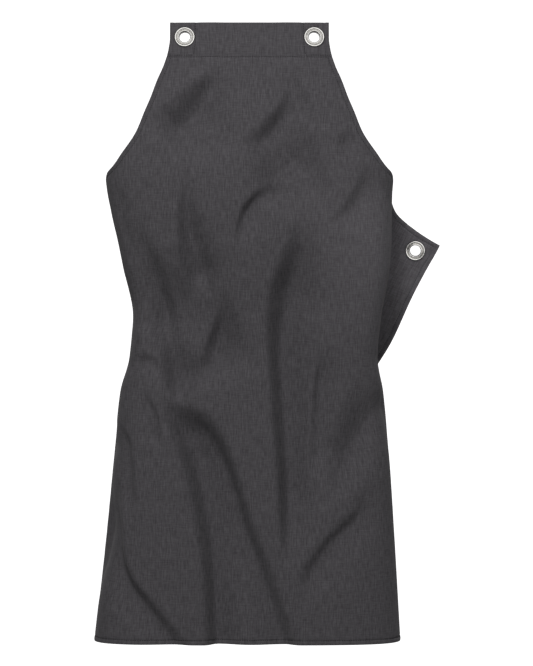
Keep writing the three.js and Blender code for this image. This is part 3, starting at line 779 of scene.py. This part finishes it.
def metal_material():
    """Satin plate whose roughness changes finely."""
    surface = {"Base Color": (*METAL_COLOUR, 1), "Metallic": 1}
    material, nodes, links, bsdf = shader("eyelet_plate", surface)
    ramp = nodes.new("ShaderNodeMapRange")
    set_inputs(ramp, {"To Min": 0.14, "To Max": 0.22})
    links.new(grain(nodes, links, METAL_GRAIN), ramp.inputs["Value"])
    links.new(ramp.outputs["Result"], bsdf.inputs["Roughness"])
    return material


def thread_material():
    """Twisted thread: short shade changes along it."""
    surface = {"Roughness": 0.7, "Specular IOR Level": 0.1}
    material, nodes, links, bsdf = shader("charcoal_thread", surface)
    colour = between(nodes, links, grain(nodes, links, THREAD_GRAIN), THREAD_DARK, THREAD_LIGHT)
    links.new(colour, bsdf.inputs["Base Color"])
    return material


def plain_material(name, colour, glow):
    """Matt surface of one colour, which gives some light of its own."""
    base = (*colour, 1)
    surface = {"Base Color": base, "Roughness": 0.9, "Emission Color": base, "Emission Strength": glow}
    return shader(name, surface)[0]


cloth_look = cloth_material("charcoal_plain_weave")
turned_look = cloth_material("charcoal_turned_cloth")
thread_look = thread_material()
metal_look = metal_material()


def place(piece, slot, *nodes):
    """Puts a piece on the part, in place of the solids that it stands for; the slot is not used."""
    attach(piece, "root")
    if nodes:
        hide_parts(*nodes)
    return piece


# Rows and columns of the mesh where hems and seams run, and the depths of the turned layers
last_row = flat_u.shape[0] - 1
last_column = flat_u.shape[1] - 1
seam_row = int(np.argmin(np.abs(flat_v[:, last_column // 2] - FACING_DEPTH)))
square_row = seam_row - SEAM_OFFSETS.index(0)
hem_row = last_row - HEM_OFFSETS.index(HEM_WIDTH)
hem_column = HEM_OFFSETS.index(HEM_WIDTH)
seam_column = HEM_OFFSETS.index(HEM_SEAM)
patch_column = int(np.argmin(np.abs(flat_u[seam_row] + flat_u[seam_row, last_column] - PATCH_WIDTH)))
second = (SECOND_LAYER, SECOND_LAYER + CLOTH)
third = (THIRD_LAYER, THIRD_LAYER + CLOTH)

panel = wall("apron_cloth", (0, last_row), (0, last_column), 0, CLOTH, cloth_look)
place(panel, "cloth", "apron_panel")


def turned_edge(node, rows, columns, layer):
    """Turned strip of cloth in a layer behind the panel."""
    strip = wall(f"{node}_cloth", rows, columns, *layer, turned_look)
    place(strip, "turned_cloth", node)


turned_edge("top_facing", (0, seam_row), (0, last_column), second)
for side in ("left", "right"):
    if side == "left":
        patch_columns = (0, patch_column)
        hem_columns = (0, hem_column)
    else:
        patch_columns = (last_column - patch_column, last_column)
        hem_columns = (last_column - hem_column, last_column)
    turned_edge(f"corner_patch_{side}", (0, seam_row), patch_columns, third)
    turned_edge(f"armhole_hem_{side}", (seam_row + 1, corner_row), hem_columns, second)
    turned_edge(f"side_hem_{side}", (corner_row + 1, hem_row - 1), hem_columns, second)
turned_edge("bottom_hem", (hem_row, last_row), (0, last_column), second)


def seam(rows, columns, depth):
    """Line along the cloth's mesh on its front, or at a depth behind it facing back."""
    block = (slice(rows[0], rows[1] + 1), slice(columns[0], columns[1] + 1))
    way = normals[block].reshape(-1, 3)
    line = cloth[block].reshape(-1, 3) - depth * way
    return line, way if depth == 0 else -way


def seams(facing_depth, patch_depth):
    """All seam lines on one face: round the edges, across the top and round the corner squares."""
    edge_row = last_row - seam_column
    inner = (patch_column, last_column - patch_column)
    lines = [
        seam((seam_row, seam_row), inner, facing_depth),
        seam((edge_row, edge_row), (seam_column, last_column - seam_column), facing_depth),
    ]
    for column in (seam_column, last_column - seam_column):
        lines.append(seam((seam_row + 1, corner_row), (column, column), facing_depth))
        lines.append(seam((corner_row + 1, edge_row), (column, column), facing_depth))
    for first, last, upright in ((0, patch_column, inner[0]), (inner[1], last_column, inner[1])):
        lines.append(seam((seam_row, seam_row), (first, last), patch_depth))
        lines.append(seam((square_row, square_row), (first, last), patch_depth))
        lines.append(seam((1, square_row), (upright, upright), patch_depth))
    return lines


front_stitches = stitches("seam_stitches_front", seams(0, 0), thread_look)
back_stitches = stitches("seam_stitches_back", seams(second[1], third[1]), thread_look)
for piece in (front_stitches, back_stitches):
    place(piece, "turned_cloth")

for seat in seats:
    eyelet = ring(f"eyelet_ring_{seat['name']}", eyelet_profile(seat), seat, metal_look)
    place(eyelet, "eyelet_metal", f"eyelet_{seat['name']}")
    washer = ring(f"eyelet_washer_{seat['name']}", washer_profile(seat), seat, metal_look)
    place(washer, "eyelet_metal", f"washer_{seat['name']}")


def flat_area():
    """Area of the flat cut in square metres."""
    curve, _, edge_half, _ = outline_edge()
    head = np.arange(0, STRAIGHT_DEPTH, OUTLINE_STEP)
    above = 2 * OUTLINE_STEP * (curve(head).sum() + edge_half.sum())
    return (above + 2 * HALF_WIDTH * (LENGTH - CORNER_V)) * MM * MM


flat_area()


def camera():
    """Level camera in front, with the middle of the view straight ahead."""
    data = bpy.data.cameras.new("camera")
    data.sensor_width = SENSOR
    data.lens = SENSOR * VIEW_DISTANCE / VIEW_HEIGHT
    obj = add_object("camera", data)
    x, y, z = VIEW_CENTRE
    obj.location = (x, y - VIEW_DISTANCE, z)
    obj.rotation_euler = (math.pi / 2, 0, 0)
    bpy.context.scene.camera = obj


def add_light(name, data, position, target):
    """Light turned to its target, which doesn't show in the metal."""
    obj = add_object(name, data)
    obj.location = position
    obj.rotation_euler = (Vector(target) - Vector(position)).to_track_quat("-Z", "Y").to_euler()
    obj.visible_glossy = False
    return obj


def area_light(name, position, size, power):
    """Soft round light turned to the middle of the view."""
    data = bpy.data.lights.new(name, "AREA")
    data.shape = "DISK"
    data.size = size
    data.energy = power
    add_light(name, data, position, VIEW_CENTRE).visible_camera = False


def spot_light(name, position, target, reach, power):
    """Light on a round patch of the given reach, with a soft edge."""
    data = bpy.data.lights.new(name, "SPOT")
    data.spot_size = 2 * math.atan(reach / (Vector(target) - Vector(position)).length)
    data.spot_blend = 0.8
    data.shadow_soft_size = 0.1
    data.energy = power
    add_light(name, data, position, target)


def sky(strength):
    """Even dim light from all around."""
    world = bpy.data.worlds.new("studio")
    bpy.context.scene.world = world
    world.use_nodes = True
    set_inputs(world.node_tree.nodes["Background"], {"Color": (1, 1, 1, 1), "Strength": strength})


def backdrop():
    """White surround that the camera sees, and that casts no light on the cloth."""
    bpy.ops.mesh.primitive_uv_sphere_add(
        segments=64, ring_count=32, radius=SURROUND_RADIUS, location=VIEW_CENTRE)
    obj = bpy.context.active_object
    obj.name = "backdrop"
    obj.data.materials.append(plain_material("white_backdrop", STUDIO_WHITE, SURROUND_GLOW))
    obj.visible_diffuse = False
    obj.visible_glossy = False
    obj.visible_shadow = False


def studio_sheet(name, corners, look):
    """Flat sheet between four corners."""
    mesh = bpy.data.meshes.new(name)
    mesh.from_pydata(corners, [], [(0, 1, 2, 3)])
    mesh.materials.append(look)
    return add_object(name, mesh)


def panel_for_metal(name, half, y, low, high, glow):
    """White panel that shows in the metal alone."""
    corners = [(-half, y, low), (half, y, low), (half, y, high), (-half, y, high)]
    obj = studio_sheet(name, corners, plain_material(name, STUDIO_WHITE, glow))
    obj.visible_camera = False
    obj.visible_diffuse = False
    obj.visible_shadow = False


def floor():
    """Pale floor far below, which throws some light back up."""
    half = FLOOR_SIZE / 2
    corners = [(x, y, FLOOR_HEIGHT) for x, y in ((-half, -half), (half, -half), (half, half), (-half, half))]
    obj = studio_sheet("floor", corners, plain_material("pale_floor", FLOOR_COLOUR, FLOOR_GLOW))
    obj.visible_glossy = False


camera()
floor()
backdrop()
panel_for_metal("rear_panel", half=6.0, y=5.0, low=-2.2, high=6.0, glow=0.1)
panel_for_metal("front_panel", half=4.0, y=-5.0, low=-2.2, high=4.0, glow=1.5)
sky(strength=0.12)
area_light("key", position=(-0.28, -2.1, 1.6), size=0.65, power=80)
spot_light("flap_light", position=(0.3, -3.0, 0.2), target=(0.212, 0.12, -0.295), reach=0.1, power=330)
area_light("rim_right", position=(2.6, 0.6, -0.2), size=1.0, power=6)
for side, x in (("left", -1.6), ("right", 1.6)):
    area_light(f"back_{side}", position=(x, 2.8, 0.8), size=1.4, power=60)
bpy.context.scene.view_settings.view_transform = "Standard"
